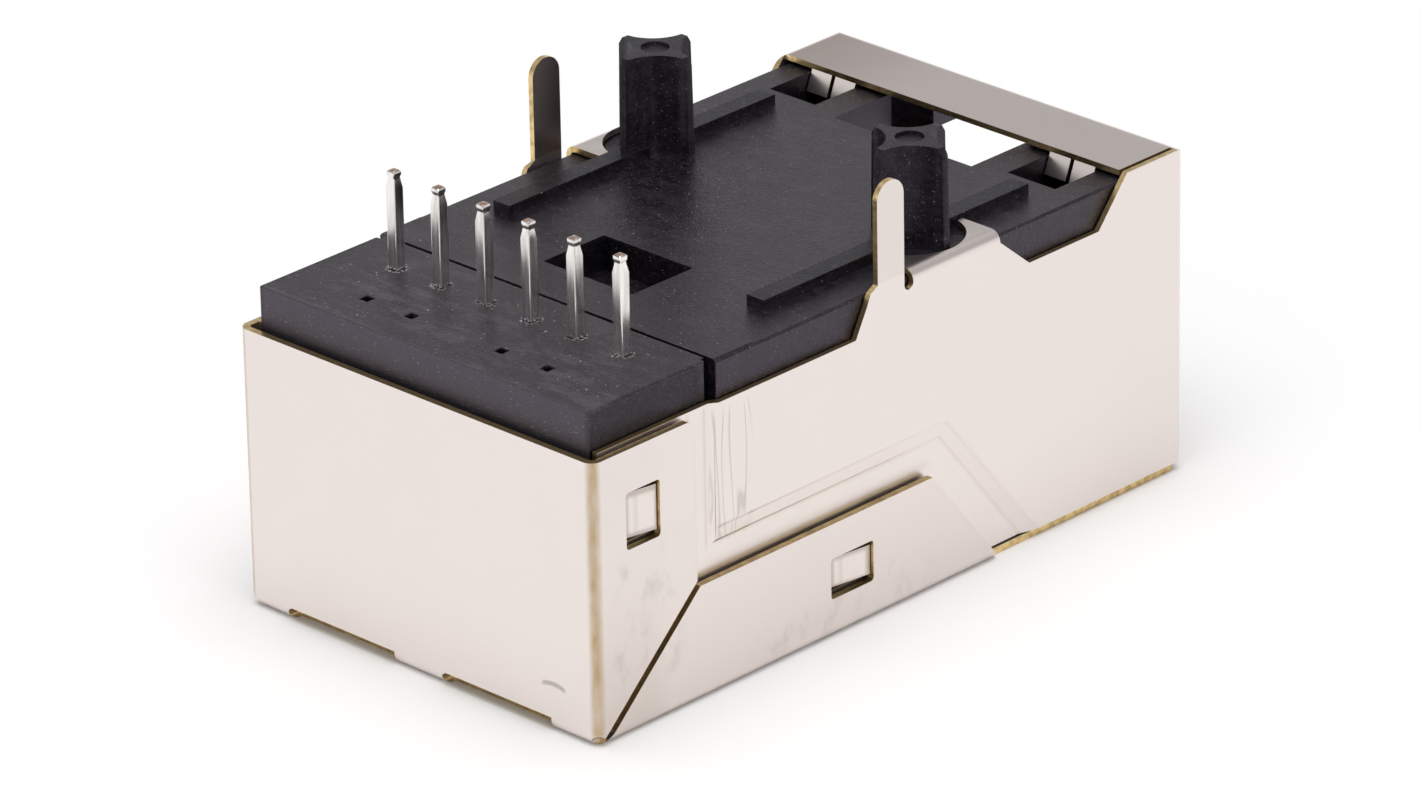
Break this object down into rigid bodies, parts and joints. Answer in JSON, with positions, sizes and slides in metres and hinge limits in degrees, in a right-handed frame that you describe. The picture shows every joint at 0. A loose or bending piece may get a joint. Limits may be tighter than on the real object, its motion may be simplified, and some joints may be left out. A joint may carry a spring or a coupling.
{
  "type": "rj45 board jack",
  "caption": "Shielded low-profile modular jack for a circuit board: folded metal shield round a black moulded housing with a plug port, latch slot, locating pegs, ground tabs and board pins.",
  "frame": {"origin": "middle of the shield's flat face that it lies on, centred over its whole length and width", "axes": "+Z towards the circuit board it is soldered to, along the pins; -Y out of the plug port; X across the jack"},
  "size_m": [0.016, 0.0282, 0.015],
  "materials": {
    "shield_nickel": "soft bright nickel plate on rolled brass sheet, brass showing gold at the sheared edges, a few grey handling marks",
    "black_plastic": "charcoal glass-filled moulding with fine pale specks",
    "carrier_plastic": "plain dark moulding",
    "contact_gold": "gold-plated spring wire",
    "tinned_wire": "bright tin on square wire",
    "board_green": "green solder-resisted board",
    "ferrite": "coated ferrite ring",
    "copper_wire": "enamelled copper wire",
    "resistor_body": "black glazed chip",
    "capacitor_body": "tan ceramic chip"
  },
  "bodies": {
    "root": {"front_shield": "shield_nickel", "rear_shield": "shield_nickel", "housing": "black_plastic", "rear_case": "black_plastic", "contact_carrier": "carrier_plastic", "contact_1": "contact_gold", "contact_2": "contact_gold", "contact_3": "contact_gold", "contact_4": "contact_gold", "contact_5": "contact_gold", "contact_6": "contact_gold", "contact_7": "contact_gold", "contact_8": "contact_gold", "board_pin_1": "tinned_wire", "board_pin_2": "tinned_wire", "board_pin_3": "tinned_wire", "board_pin_4": "tinned_wire", "board_pin_5": "tinned_wire", "board_pin_6": "tinned_wire", "circuit_board": "board_green", "toroid_1": "ferrite", "toroid_2": "ferrite", "toroid_3": "ferrite", "toroid_4": "ferrite", "winding_1": "copper_wire", "winding_2": "copper_wire", "winding_3": "copper_wire", "winding_4": "copper_wire", "resistor_1": "resistor_body", "resistor_2": "resistor_body", "resistor_3": "resistor_body", "resistor_4": "resistor_body", "capacitor": "capacitor_body"}
  },
  "joints": []
}
